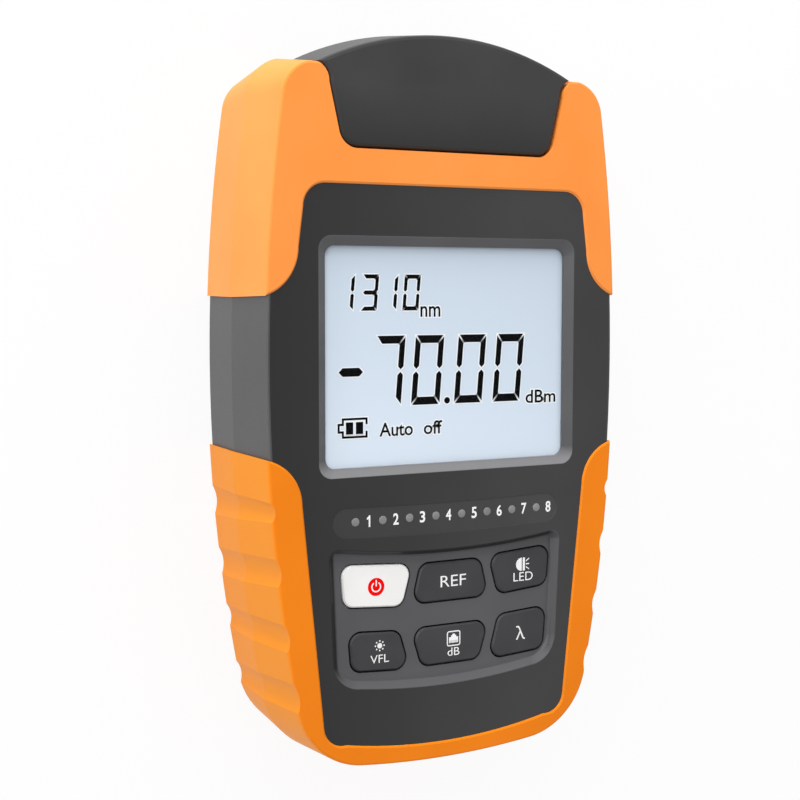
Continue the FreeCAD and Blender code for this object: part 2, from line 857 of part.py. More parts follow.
def makeJackContacts():
    middle = (jackLow + boardBack) / 2
    top = middle + socketHeight / 2
    back = portWallFront - socketDepth
    contacts = []
    for i in range(8):
        x = jackX + (i - 3.5) * 1.27
        low = point(x - 0.25, back, top - contactDroop)
        end = point(x - 0.25, back + contactReach, top)
        thick = point(0, 0, 0.5)
        ring = Part.makePolygon([low, end, end - thick, low - thick, low])
        contacts.append(Part.Face(ring).extrude(point(0.5, 0, 0)))
    return contacts


def makeOpticalPort():
    tube = rod(opticalPortX, portLevel, portFloor - 13, opticalReach, opticalTube)
    tube = tube.fuse(rod(opticalPortX, portLevel, portFloor - 2, portFloor, opticalNut))
    return tube.cut(rod(opticalPortX, portLevel, portFloor - 6, opticalReach + 1, ferruleBore))


def makeOpticalNut():
    # Knurled ring: teeth round its rim
    ring = []
    for i in range(2 * knurlTeeth + 1):
        angle = math.pi * i / knurlTeeth
        radius = opticalNut - 0.3 * (i % 2)
        across = radius * math.cos(angle)
        ring.append(point(opticalPortX + across, portWallFront, portLevel + radius * math.sin(angle)))
    nut = Part.Face(Part.makePolygon(ring)).extrude(point(0, nutThickness, 0))
    return nut.cut(rod(opticalPortX, portLevel, 0, 60, opticalTube))


def makePhotodiode():
    start = portFloor - 13
    can = rod(opticalPortX, portLevel, start - 3.2, start, 2.35)
    can = can.fuse(rod(opticalPortX, portLevel, start - 3.6, start - 3.2, 2.7))
    return can.fuse(block(opticalPortX - 0.25, opticalPortX + 0.25, start - 5.2, start - 3.6,
                          portLevel - 0.25, boardBack - 3))


def makeLocatorPort():
    tube = rod(locatorX, locatorLevel, portFloor - 8, locatorReach, locatorTube)
    tube = tube.fuse(rod(locatorX, locatorLevel, portFloor - 2, portFloor, locatorFlange))
    return tube.cut(rod(locatorX, locatorLevel, portFloor - 5, locatorReach + 1, ferruleBore))


def makeLaser():
    return rod(locatorX, locatorLevel, portFloor - 22, portFloor - 8, locatorFlange)


def makeLampLens():
    lens = rod(lampX, lampLevel, portFloor - 3, portWallFront, lampRadius)
    dome = Part.makeSphere(lampRadius, point(lampX, portWallFront, lampLevel))
    return lens.fuse(dome.common(block(0, 30, portWallFront, 60, 0, 30)))


def makeLamp():
    return rod(lampX, lampLevel, portFloor - 5, portFloor - 3, lampRadius)


def makeCells():
    cells = []
    for i in range(3):
        x = cellPitch * (i - 1)
        turn = 1 if i != 1 else -1
        start = cellStart if turn > 0 else cellStart + cellLength
        axis = point(0, turn, 0)
        can = Part.makeCylinder(cellRadius, cellLength - 0.9, point(x, start, cellLevel), axis)
        can = can.makeChamfer(0.4, [e for e in can.Edges if len(e.Vertexes) == 1])
        nub = Part.makeCylinder(1.9, 1.4, point(x, start + turn * (cellLength - 1.4), cellLevel), axis)
        cells.append(can.fuse(nub))
    return cells


def cellEnds():
    # Inner faces of the contact plates at both ends of the cells
    return cellStart - contactRoom, cellStart + cellLength + contactRoom


def makeContactPlates():
    low, high = cellEnds()
    plates = []
    for i in range(3):
        x = cellPitch * (i - 1)
        for start in (low - plateThickness, high):
            end = start + plateThickness
            plates.append(block(x - 4.2, x + 4.2, start, end, cellLevel - 4, cellLevel + 4))
    return plates


def makeLeafSprings():
    # Bowed strips between the plates and the cells
    low, high = cellEnds()
    leaves = []
    for i in range(3):
        x = cellPitch * (i - 1) - 2.5
        for base, way in ((low, 1), (high, -1)):
            wires = []
            for back in (0.0, 0.3):
                foot = base + way * (0.3 - back)
                tip = base + way * (contactRoom - back)
                wires.append((point(x, foot, cellLevel - 3.4), point(x, tip, cellLevel),
                              point(x, foot, cellLevel + 3.4)))
            outer, inner = wires
            edges = [Part.Arc(*outer).toShape(), Part.LineSegment(outer[2], inner[2]).toShape(),
                     Part.Arc(inner[2], inner[1], inner[0]).toShape(),
                     Part.LineSegment(inner[0], outer[0]).toShape()]
            leaves.append(Part.Face(Part.Wire(edges)).extrude(point(5, 0, 0)))
    return leaves


def save(name, shape):
    solids = shape if isinstance(shape, list) else [shape]
    kept = []
    for solid in solids:
        for piece in solid.Solids:
            piece.translate(point(0, lengthShift, 0))
            kept.append(piece)
    whole = kept[0] if len(kept) == 1 else Part.makeCompound(kept)
    whole.exportStep("parts/" + name + ".step")
    print(name, len(kept), whole.isValid(), whole.BoundBox)


os.makedirs("parts", exist_ok=True)
core = shellCore()
upperBumper, lowerBumper = makeBumpers(core)
save("front_shell", makeFrontShell(core))
save("face_panel", makeFacePanel())
save("key_tray", makeKeyTray())
save("rear_shell", makeRearShell(core))
save("upper_bumper", upperBumper)
save("lower_bumper", lowerBumper)
save("dust_cap", makeCap())
save("display_bezel", makeBezel())
save("display_lens", makeLens())
save("display", makeDisplay())
save("display_connectors", makeConnectors())
save("backlight", makeBacklight())
save("main_board", makeBoard())
save("board_chips", makeChips())
save("key_domes", makeDomeSheet())
for keyName, keyShape in keyCorners.items():
    save(keyName, makeKey(keyShape))
save("light_pipes", makeLightPipes())
save("indicator_lamps", makeIndicatorLamps())
save("port_wall", makePortWall())
save("network_jack", makeJack())
save("jack_contacts", makeJackContacts())
save("optical_port", makeOpticalPort())
save("optical_port_nut", makeOpticalNut())
save("photodiode", makePhotodiode())
save("fault_locator_port", makeLocatorPort())
save("fault_locator_laser", makeLaser())
save("lamp_lens", makeLampLens())
save("lamp", makeLamp())
save("battery_door", makeDoor())
save("battery_door_screw", makeDoorScrew())
save("battery_cells", makeCells())
save("battery_plates", makeContactPlates())
save("battery_springs", makeLeafSprings())
save("case_screws", makeCaseScrews())
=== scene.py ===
import bpy
import bmesh
import math
from mathutils import Matrix, Vector


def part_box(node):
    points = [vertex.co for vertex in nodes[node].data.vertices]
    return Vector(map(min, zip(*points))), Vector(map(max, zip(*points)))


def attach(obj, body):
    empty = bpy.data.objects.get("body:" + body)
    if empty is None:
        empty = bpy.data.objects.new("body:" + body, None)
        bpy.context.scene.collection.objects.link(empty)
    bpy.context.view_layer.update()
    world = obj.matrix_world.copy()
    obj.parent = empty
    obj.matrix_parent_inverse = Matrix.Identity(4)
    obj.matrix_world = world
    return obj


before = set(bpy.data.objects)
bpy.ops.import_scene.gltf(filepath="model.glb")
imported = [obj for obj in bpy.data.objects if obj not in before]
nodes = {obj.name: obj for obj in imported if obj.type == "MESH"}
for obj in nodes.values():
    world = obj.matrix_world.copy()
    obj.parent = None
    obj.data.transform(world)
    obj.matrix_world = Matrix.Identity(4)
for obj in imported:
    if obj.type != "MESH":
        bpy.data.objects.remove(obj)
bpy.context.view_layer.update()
mm = 0.001
outlineShift = -0.175  # millimetres, added to every outline's Y so that the body's middle is at zero
mergeDistance = 1e-7  # metres within which doubled corners become one
print("frame loaded:", len(nodes), "nodes")


def linearColour(hexText):
    # sRGB hex to a linear colour with alpha 1
    values = []
    for start in (0, 2, 4):
        channel = int(hexText[start:start + 2], 16) / 255
        values.append(channel / 12.92 if channel <= 0.04045 else ((channel + 0.055) / 1.055) ** 2.4)
    return (*values, 1.0)


def addNode(tree, kind, settings=None, links=None):
    # One node with its attributes, input values and incoming links
    node = tree.nodes.new(kind)
    for name, value in (settings or {}).items():
        if hasattr(node, name) and name not in node.inputs:
            setattr(node, name, value)
        else:
            node.inputs[name].default_value = value
    for name, source in (links or {}).items():
        tree.links.new(source, node.inputs[name])
    return node


def newMaterial(name):
    material = bpy.data.materials.new(name)
    material.use_nodes = True
    tree = material.node_tree
    tree.nodes.clear()
    output = addNode(tree, "ShaderNodeOutputMaterial")
    shader = addNode(tree, "ShaderNodeBsdfPrincipled")
    tree.links.new(shader.outputs["BSDF"], output.inputs["Surface"])
    return material, tree, shader


def perMillimetre(size):
    # Texture scale for a pattern of a real size in millimetres
    return 1 / (size * mm)


def paintedShadingColour(tree, colour, place, fade):
    # Colour drawn towards another one between two places along an axis, in millimetres: painted light and
    # shade.
    # The axis may be turned about Z, by degrees.
    turned = addNode(tree, "ShaderNodeMapping",
                     {"Rotation": (0.0, 0.0, math.radians(fade.get("turn", 0)))}, {"Vector": place})
    parts = addNode(tree, "ShaderNodeSeparateXYZ", None, {"Vector": turned.outputs["Vector"]})
    share = addNode(tree, "ShaderNodeMapRange",
                    {"From Min": fade["start"] * mm, "From Max": fade["end"] * mm},
                    {"Value": parts.outputs[fade["axis"]]})
    mix = addNode(tree, "ShaderNodeMix", {"data_type": "RGBA"})
    tree.links.new(share.outputs["Result"], mix.inputs["Factor"])
    # Inputs 6 and 7 and output 2 are this node's colours
    tree.links.new(colour, mix.inputs[6])
    mix.inputs[7].default_value = linearColour(fade["colour"])
    return mix.outputs[2]


finishHabits = {
    "driftDetail": 2.0, "driftLow": 0.3, "driftHigh": 0.7,  # slow change of colour over the piece
    "grainDetail": 3.0, "grainRise": 0.3,  # rise of the grain, as a share of its size
}


def surfaceFinish(name, look):
    # Colour that drifts a little, roughness that varies with the grain, and a fine bump
    material, tree, shader = newMaterial(name)
    place = addNode(tree, "ShaderNodeTexCoord")
    drift = addNode(tree, "ShaderNodeTexNoise",
                    {"Scale": perMillimetre(look["driftSize"]), "Detail": finishHabits["driftDetail"]},
                    {"Vector": place.outputs["Object"]})
    grain = addNode(tree, "ShaderNodeTexNoise",
                    {"Scale": perMillimetre(look["grainSize"]), "Detail": finishHabits["grainDetail"]},
                    {"Vector": place.outputs["Object"]})
    shade = addNode(tree, "ShaderNodeValToRGB", None, {"Fac": drift.outputs["Fac"]})
    shade.color_ramp.elements[0].position = finishHabits["driftLow"]
    shade.color_ramp.elements[0].color = linearColour(look["dark"])
    shade.color_ramp.elements[1].position = finishHabits["driftHigh"]
    shade.color_ramp.elements[1].color = linearColour(look["light"])
    colour = shade.outputs["Color"]
    # Painted light and shade, each drawn towards a colour along an axis
    for fade in look.get("paintedShading", ()):
        colour = paintedShadingColour(tree, colour, place.outputs["Object"], fade)
    tree.links.new(colour, shader.inputs["Base Color"])
    rough = addNode(tree, "ShaderNodeMapRange", {"To Min": look["roughness"] - look["roughnessSpread"],
                                                 "To Max": look["roughness"] + look["roughnessSpread"]},
                    {"Value": grain.outputs["Fac"]})
    tree.links.new(rough.outputs["Result"], shader.inputs["Roughness"])
    rise = look["grainSize"] * finishHabits["grainRise"] * mm
    bump = addNode(tree, "ShaderNodeBump", {"Strength": look["bump"], "Distance": rise},
                   {"Height": grain.outputs["Fac"]})
    tree.links.new(bump.outputs["Normal"], shader.inputs["Normal"])
    for socket, value in look.get("sockets", {}).items():
        shader.inputs[socket].default_value = value
    return material


# Materials, each named for the real one and how its surface was made. Sizes are in millimetres.
# A moulded grain is a tenth of a millimetre or less, and is drawn coarser here so that it shows.

# Dull mid grey, its shine broken up by the fine pits of the mould
texturedGreyAbs = surfaceFinish("textured grey ABS, spark-eroded mould", {
    "dark": "434344", "light": "49494a", "driftSize": 22, "grainSize": 0.35, "roughness": 0.5,
    "roughnessSpread": 0.06, "bump": 0.25, "sockets": {"IOR": 1.5}})
# Near black and matt, with painted shade deepening towards its left edge, where the light falls off
darkPanelAbs = surfaceFinish("dark textured ABS panel", {
    "dark": "343435", "light": "3b3b3c", "driftSize": 25, "grainSize": 0.3, "roughness": 0.52,
    "roughnessSpread": 0.06, "bump": 0.2, "sockets": {"IOR": 1.5},
    "paintedShading": ({"axis": "X", "start": 12, "end": -36, "colour": "1e1e1f"},)})
# The same plastic a little smoother, so its crown catches light; painted shade darkens its front towards
# its lower edge
capAbs = surfaceFinish("dark textured ABS hood", {
    "dark": "333334", "light": "3b3b3c", "driftSize": 14, "grainSize": 0.3, "roughness": 0.45,
    "roughnessSpread": 0.06, "bump": 0.2, "sockets": {"IOR": 1.5},
    "paintedShading": ({"axis": "Y", "start": 51, "end": 41, "colour": "262627"},)})
# Soft and warm, with hardly any shine, as rubber looks under a broad light. Paler than the lower bumper's
# orange, partly a real difference and partly painted light from above
lightOrangeTpe = surfaceFinish("light orange TPE, over-moulded", {
    "dark": "fa933f", "light": "fe9a48", "driftSize": 18, "grainSize": 0.45, "roughness": 0.5,
    "roughnessSpread": 0.07, "bump": 0.12, "sockets": {"IOR": 1.5, "Specular IOR Level": 0.25}})
# Deeper orange on its face than the upper bumper, partly a real difference and partly painted shade low
# down. Down its flanks and in the scallops it is painted browner, as painted shading of the sides
deepOrangeTpe = surfaceFinish("deep orange TPE, over-moulded", {
    "dark": "ee7e02", "light": "f48408", "driftSize": 18, "grainSize": 0.45, "roughness": 0.5,
    "roughnessSpread": 0.07, "bump": 0.12, "sockets": {"IOR": 1.5, "Specular IOR Level": 0.25},
    "paintedShading": ({"axis": "Z", "start": 26.18, "end": 25.6, "colour": "e58902"},)})
# Satin frame with a soft sheen on its slopes, and painted light along its lower bar, which is palest
bezelAbs = surfaceFinish("satin grey ABS bezel", {
    "dark": "515153", "light": "5a5a5c", "driftSize": 18, "grainSize": 0.25, "roughness": 0.38,
    "roughnessSpread": 0.05, "bump": 0.08, "sockets": {"IOR": 1.5},
    "paintedShading": ({"axis": "Y", "start": -8.5, "end": -10.6, "colour": "7d7d7f"},)})
# Satin floor lighter than the panel. Painted shade darkens its walls, most at its left and top, so that it
# looks sunk; its lower wall is painted pale and its right wall less dark, as painted light
trayAbs = surfaceFinish("satin dark grey ABS tray", {
    "dark": "505052", "light": "57575a", "driftSize": 16, "grainSize": 0.25, "roughness": 0.42,
    "roughnessSpread": 0.05, "bump": 0.08, "sockets": {"IOR": 1.5},
    # Painted shadow on the left wall, painted shade on all four walls, then painted light on the lower and
    # right walls
    "paintedShading": ({"axis": "X", "turn": -2.3, "start": -21.5, "end": -21.9, "colour": "1c1c1d"},  # left wall
              {"axis": "Z", "start": 25.05, "end": 25.2, "colour": "1c1c1d"},  # all four walls
              {"axis": "Y", "start": -42.5, "end": -45.0, "colour": "58585b"},  # lower wall
              {"axis": "X", "start": 20.0, "end": 20.8, "colour": "49494b"})})  # right wall
# Skin-like rubber with a dim, even sheen that draws the eased edges of the keys
keyRubber = surfaceFinish("dark silicone keys, moulded", {
    "dark": "3a393c", "light": "414042", "driftSize": 6, "grainSize": 0.2, "roughness": 0.48,
    "roughnessSpread": 0.05, "bump": 0.1, "sockets": {"IOR": 1.41}})
# Clean warm white with the same even sheen
whiteKeyRubber = surfaceFinish("white silicone key, moulded", {
    "dark": "f2f1ef", "light": "f7f6f4", "driftSize": 6, "grainSize": 0.2, "roughness": 0.42,
    "roughnessSpread": 0.05, "bump": 0.06, "sockets": {"IOR": 1.41}})
# Flat opaque white, a hair above the rubber
whiteInk = surfaceFinish("white pad-printed ink", {
    "dark": "f4f4f4", "light": "fcfcfc", "driftSize": 2, "grainSize": 0.1, "roughness": 0.5,
    "roughnessSpread": 0.04, "bump": 0.05})
# Pure strong red without a haze of shine over it
redInk = surfaceFinish("red pad-printed ink", {
    "dark": "f40000", "light": "fc0000", "driftSize": 2, "grainSize": 0.1, "roughness": 0.5,
    "roughnessSpread": 0.04, "bump": 0.05, "sockets": {"Specular IOR Level": 0.1}})
# Black that swallows light, as a driven segment does between its polarisers
crystalBlack = surfaceFinish("black liquid crystal, driven", {
    "dark": "020203", "light": "060608", "driftSize": 4, "grainSize": 0.2, "roughness": 0.4,
    "roughnessSpread": 0.03, "bump": 0.02, "sockets": {"Specular IOR Level": 0.0}})
# Bright rim that lifts each segment off the glass
crystalHalo = surfaceFinish("pale liquid crystal edge", {
    "dark": "f2f6fa", "light": "fafcff", "driftSize": 4, "grainSize": 0.2, "roughness": 0.4,
    "roughnessSpread": 0.03, "bump": 0.02})
# Milky grey domes, unlit, a little glossier than what is round them
frostedPipe = surfaceFinish("frosted polycarbonate light pipe", {
    "dark": "7a7a7b", "light": "858586", "driftSize": 2, "grainSize": 0.15, "roughness": 0.35,
    "roughnessSpread": 0.05, "bump": 0.05, "sockets": {"IOR": 1.58}})
# Smoother and a touch paler than the panel, so the strip reads as a separate film, with the panel's painted
# shade deepening towards its left end
overlayFilm = surfaceFinish("matt dark polycarbonate film, printed behind", {
    "dark": "373738", "light": "3d3d3e", "driftSize": 12, "grainSize": 0.2, "roughness": 0.48,
    "roughnessSpread": 0.05, "bump": 0.06, "sockets": {"IOR": 1.58},
    "paintedShading": ({"axis": "X", "start": 12, "end": -36, "colour": "28282a"},)})
# Plain black wall that sets off the bright ports
portAbs = surfaceFinish("black ABS port wall", {
    "dark": "202021", "light": "29292a", "driftSize": 9, "grainSize": 0.3, "roughness": 0.5,
    "roughnessSpread": 0.06, "bump": 0.15})
# Blacker and smoother than the wall round it
jackPbt = surfaceFinish("black PBT jack body", {
    "dark": "161617", "light": "1e1e20", "driftSize": 8, "grainSize": 0.25, "roughness": 0.4,
    "roughnessSpread": 0.06, "bump": 0.1})
# Warm silver whose shine varies softly over the tubes
turnedNickel = surfaceFinish("nickel-plated brass, turned", {
    "dark": "b4b2ac", "light": "c6c4be", "driftSize": 5, "grainSize": 0.3, "roughness": 0.28,
    "roughnessSpread": 0.08, "bump": 0.05, "sockets": {"Metallic": 1.0}})
# Small yellow glints deep in the socket
goldPlate = surfaceFinish("gold-plated contact", {
    "dark": "d8a94c", "light": "e6bb62", "driftSize": 3, "grainSize": 0.2, "roughness": 0.25,
    "roughnessSpread": 0.05, "bump": 0.02, "sockets": {"Metallic": 1.0}})
# Cool grey screw heads, slightly cloudy
zincSteel = surfaceFinish("zinc-plated steel screw", {
    "dark": "8e9092", "light": "a2a4a6", "driftSize": 2, "grainSize": 0.25, "roughness": 0.35,
    "roughnessSpread": 0.08, "bump": 0.08, "sockets": {"Metallic": 1.0}})
# Bright sheet and wire
springSteel = surfaceFinish("tinned spring steel", {
    "dark": "b8babc", "light": "c8cacc", "driftSize": 4, "grainSize": 0.3, "roughness": 0.3,
    "roughnessSpread": 0.06, "bump": 0.05, "sockets": {"Metallic": 1.0}})
# Lacquered green, faintly uneven over the board
solderMask = surfaceFinish("green solder mask on FR4", {
    "dark": "17512c", "light": "1f6336", "driftSize": 12, "grainSize": 0.6, "roughness": 0.4,
    "roughnessSpread": 0.08, "bump": 0.15})
# Dull, sooty black
epoxyChip = surfaceFinish("black moulded epoxy", {
    "dark": "18181a", "light": "222224", "driftSize": 5, "grainSize": 0.15, "roughness": 0.6,
    "roughnessSpread": 0.05, "bump": 0.2})
# Even milky white
diffuserPlastic = surfaceFinish("white polycarbonate diffuser", {
    "dark": "e4e7ea", "light": "eef0f2", "driftSize": 16, "grainSize": 0.4, "roughness": 0.35,
    "roughnessSpread": 0.05, "bump": 0.05})
# Tight glossy film over a can
cellSleeve = surfaceFinish("shrink sleeve of a cell", {
    "dark": "2b3036", "light": "363c44", "driftSize": 10, "grainSize": 0.5, "roughness": 0.3,
    "roughnessSpread": 0.06, "bump": 0.05})


def clearPlastic(name, look):
    # Thin clear moulding that shows what lies behind it, with a faint gloss
    material, tree, shader = newMaterial(name)
    place = addNode(tree, "ShaderNodeTexCoord")
    haze = addNode(tree, "ShaderNodeTexNoise", {"Scale": perMillimetre(look["hazeSize"]), "Detail": 1.0},
                   {"Vector": place.outputs["Object"]})
    rough = addNode(tree, "ShaderNodeMapRange", {"To Min": look["roughness"] - look["roughnessSpread"],
                                                 "To Max": look["roughness"] + look["roughnessSpread"]},
                    {"Value": haze.outputs["Fac"]})
    tree.links.new(rough.outputs["Result"], shader.inputs["Roughness"])
    shader.inputs["Base Color"].default_value = linearColour(look["tint"])
    shader.inputs["Alpha"].default_value = look["alpha"]
    shader.inputs["IOR"].default_value = look["ior"]
    shader.inputs["Specular IOR Level"].default_value = look["gloss"]
    return material


# Hardly there: the display shows through it undimmed and without a glare
clearAcrylic = clearPlastic("clear acrylic window, anti-glare coated", {
    "tint": "eef3f8", "alpha": 0.003, "roughness": 0.12, "roughnessSpread": 0.036, "hazeSize": 9,
    "ior": 1.49, "gloss": 0.03})
# Pale bead with a bright glint
clearLens = clearPlastic("clear polycarbonate lens", {
    "tint": "f2f6f8", "alpha": 0.35, "roughness": 0.08, "roughnessSpread": 0.024, "hazeSize": 9,
    "ior": 1.49, "gloss": 0.5})


def crystalPanel(name, look):
    # Display glass whose colour runs from a bottom to a top tone, and a little from left to right
    material, tree, shader = newMaterial(name)
    place = addNode(tree, "ShaderNodeTexCoord")
    parts = addNode(tree, "ShaderNodeSeparateXYZ", None, {"Vector": place.outputs["Object"]})
    upward = addNode(tree, "ShaderNodeMapRange",
                     {"From Min": look["low"] * mm, "From Max": look["high"] * mm,
                      "To Min": 0.0, "To Max": look["upwardShare"]}, {"Value": parts.outputs["Y"]})
    sideways = addNode(tree, "ShaderNodeMapRange",
                       {"From Min": look["left"] * mm, "From Max": look["right"] * mm,
                        "To Min": 0.0, "To Max": look["sidewaysShare"]}, {"Value": parts.outputs["X"]})
    both = addNode(tree, "ShaderNodeMath", {"operation": "ADD"})
    tree.links.new(upward.outputs["Result"], both.inputs[0])
    tree.links.new(sideways.outputs["Result"], both.inputs[1])
    ramp = addNode(tree, "ShaderNodeValToRGB", None, {"Fac": both.outputs["Value"]})
    ramp.color_ramp.elements[0].color = linearColour(look["bottom"])
    ramp.color_ramp.elements[1].color = linearColour(look["top"])
    middle = ramp.color_ramp.elements.new(look["middleAt"])
    middle.color = linearColour(look["middle"])
    tree.links.new(ramp.outputs["Color"], shader.inputs["Base Color"])
    cloud = addNode(tree, "ShaderNodeTexNoise", {"Scale": perMillimetre(look["cloudSize"])},
                    {"Vector": place.outputs["Object"]})
    rough = addNode(tree, "ShaderNodeMapRange", {"To Min": look["roughness"] - look["roughnessSpread"],
                                                 "To Max": look["roughness"] + look["roughnessSpread"]},
                    {"Value": cloud.outputs["Fac"]})
    tree.links.new(rough.outputs["Result"], shader.inputs["Roughness"])
    return material


# Pale and cool, bluer and darker towards its top right corner
displayGlass = crystalPanel("reflective liquid crystal glass", {
    "low": -10, "high": 26, "left": -22, "right": 22, "upwardShare": 0.8, "sidewaysShare": 0.2,
    "bottom": "dfebf8", "middle": "d2dfed", "top": "c9d6e5", "middleAt": 0.45,
    "cloudSize": 12, "roughness": 0.45, "roughnessSpread": 0.05})


def stripedRubber(name, look):
    # Layers side by side along X
    material, tree, shader = newMaterial(name)
    place = addNode(tree, "ShaderNodeTexCoord")
    waveRadians = 20  # that a wave texture runs through in one unit of its scale
    bands = addNode(tree, "ShaderNodeTexWave",
                    {"bands_direction": "X", "Scale": perMillimetre(look["radian"]) / waveRadians},
                    {"Vector": place.outputs["Object"]})
    ramp = addNode(tree, "ShaderNodeValToRGB", None, {"Fac": bands.outputs["Fac"]})
    ramp.color_ramp.elements[0].color = linearColour(look["carbon"])
    ramp.color_ramp.elements[1].color = linearColour(look["plain"])
    tree.links.new(ramp.outputs["Color"], shader.inputs["Base Color"])
    shader.inputs["Roughness"].default_value = look["roughness"]
    return material


# Dull stripes of black conducting and pale insulating silicone. Real ones are about a tenth of a
# millimetre wide. They are drawn far coarser so that they show, a pair of them every 5 mm.
connectorRubber = stripedRubber("striped silicone connector", {
    "radian": 0.8, "carbon": "1c1c1c", "plain": "b8b8ac", "roughness": 0.6})  # a pair is 2 pi radians
print("materials made")

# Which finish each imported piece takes
finishes = {
    "front_shell": texturedGreyAbs, "face_panel": darkPanelAbs, "key_tray": trayAbs,
    "rear_shell": texturedGreyAbs, "battery_door": texturedGreyAbs,
    "upper_bumper": lightOrangeTpe, "lower_bumper": deepOrangeTpe, "dust_cap": capAbs,
    "display_bezel": bezelAbs, "display_lens": clearAcrylic, "display": displayGlass,
    "display_connectors": connectorRubber, "backlight": diffuserPlastic,
    "main_board": solderMask, "board_chips": epoxyChip, "key_domes": springSteel,
    "power_key": whiteKeyRubber, "reference_key": keyRubber, "lamp_key": keyRubber,
    "fault_locator_key": keyRubber, "loss_key": keyRubber, "wavelength_key": keyRubber,
    "light_pipes": frostedPipe, "indicator_lamps": diffuserPlastic,
    "port_wall": portAbs, "network_jack": jackPbt, "jack_contacts": goldPlate,
    "optical_port": turnedNickel, "optical_port_nut": turnedNickel, "photodiode": goldPlate,
    "fault_locator_port": turnedNickel, "fault_locator_laser": goldPlate,
    "lamp_lens": clearLens, "lamp": diffuserPlastic,
    "battery_door_screw": zincSteel, "case_screws": zincSteel, "battery_cells": cellSleeve,
    "battery_plates": springSteel, "battery_springs": springSteel,
}
for nodeName, node in nodes.items():
    for materialSlot in node.material_slots:
        materialSlot.material = finishes[nodeName]


def plateMesh(name, outlines, base, thickness):
    # Thin plates from closed outlines in millimetres, from a base level upwards in metres
    mesh = bpy.data.meshes.new(name)
    build = bmesh.new()
    for outline in outlines:
        corners = [build.verts.new((x * mm, (y + outlineShift) * mm, base)) for x, y in outline]
        build.faces.new(corners)
    bmesh.ops.recalc_face_normals(build, faces=build.faces)
    lifted = bmesh.ops.extrude_face_region(build, geom=list(build.faces))
    for corner in [item for item in lifted["geom"] if isinstance(item, bmesh.types.BMVert)]:
        corner.co.z += thickness
    bmesh.ops.recalc_face_normals(build, faces=build.faces)
    build.to_mesh(mesh)
    build.free()
    return mesh


def textMesh(name, words, x, y, height, width, base, thickness, boldness):
    # Words as a thin plate, their box centred at a place and stretched to a size in millimetres
    curve = bpy.data.curves.new(name, "FONT")
    curve.body = words
    curve.size = 1.0
    curve.extrude = 0.02  # any depth does, as it is scaled to the thickness below
    curve.offset = boldness
    curve.fill_mode = "BOTH"
    curve.resolution_u = 4
    holder = bpy.data.objects.new(name, curve)
    bpy.context.scene.collection.objects.link(holder)
    bpy.context.view_layer.update()
    shape = holder.evaluated_get(bpy.context.evaluated_depsgraph_get())
    mesh = bpy.data.meshes.new_from_object(shape)
    bpy.data.objects.remove(holder)
    bpy.data.curves.remove(curve)
    xs = [v.co.x for v in mesh.vertices]
    ys = [v.co.y for v in mesh.vertices]
    zs = [v.co.z for v in mesh.vertices]
    spanX = width * mm / (max(xs) - min(xs))
    spanY = height * mm / (max(ys) - min(ys))
    spanZ = thickness / (max(zs) - min(zs))
    for v in mesh.vertices:
        v.co.x = x * mm + (v.co.x - (max(xs) + min(xs)) / 2) * spanX
        v.co.y = (y + outlineShift) * mm + (v.co.y - (max(ys) + min(ys)) / 2) * spanY
        v.co.z = base + (v.co.z - min(zs)) * spanZ
    return mesh


def joinMeshes(name, meshes):
    # One mesh of several, its doubled corners merged
    build = bmesh.new()
    for mesh in meshes:
        build.from_mesh(mesh)
    bmesh.ops.remove_doubles(build, verts=build.verts, dist=mergeDistance)
    whole = bpy.data.meshes.new(name)
    build.to_mesh(whole)
    build.free()
    for mesh in meshes:
        bpy.data.meshes.remove(mesh)
    return whole


def addPiece(name, mesh, material, body):
    piece = bpy.data.objects.new(name, mesh)
    bpy.context.scene.collection.objects.link(piece)
    mesh.materials.clear()
    mesh.materials.append(material)
    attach(piece, body)


def placed(x, y, outline):
    return [(x + across, y + along) for across, along in outline]


def boxOutline(x0, y0, x1, y1):
    return [(x0, y0), (x1, y0), (x1, y1), (x0, y1)]


def discOutline(x, y, radius, sides=32):
    angles = [2 * math.pi * i / sides for i in range(sides)]
    return [(x + radius * math.cos(a), y + radius * math.sin(a)) for a in angles]


def arcPoints(x, y, radius, start, end, steps=24):
    # Points along an arc between two angles in degrees
    angles = [math.radians(start + (end - start) * i / steps) for i in range(steps + 1)]
    return [(x + radius * math.cos(a), y + radius * math.sin(a)) for a in angles]


def arcBand(x, y, inner, outer, start, end, steps):
    # Part of a ring between two angles in degrees
    return arcPoints(x, y, outer, start, end, steps) + arcPoints(x, y, inner, start, end, steps)[::-1]


def grownOutline(outline, amount):
    # Closed outline moved outward by an amount, its corners kept sharp
    count = len(outline)
    area = sum(outline[i][0] * outline[(i + 1) % count][1] - outline[(i + 1) % count][0] * outline[i][1]
               for i in range(count))
    sign = 1 if area > 0 else -1
    moved = []
    for i in range(count):
        before = Vector(outline[i]) - Vector(outline[i - 1])
        after = Vector(outline[(i + 1) % count]) - Vector(outline[i])
        first = Vector((before.y, -before.x)).normalized() * sign
        second = Vector((after.y, -after.x)).normalized() * sign
        push = (first + second) * (amount / (1 + first.dot(second)))
        moved.append((outline[i][0] + push.x, outline[i][1] + push.y))
    return moved


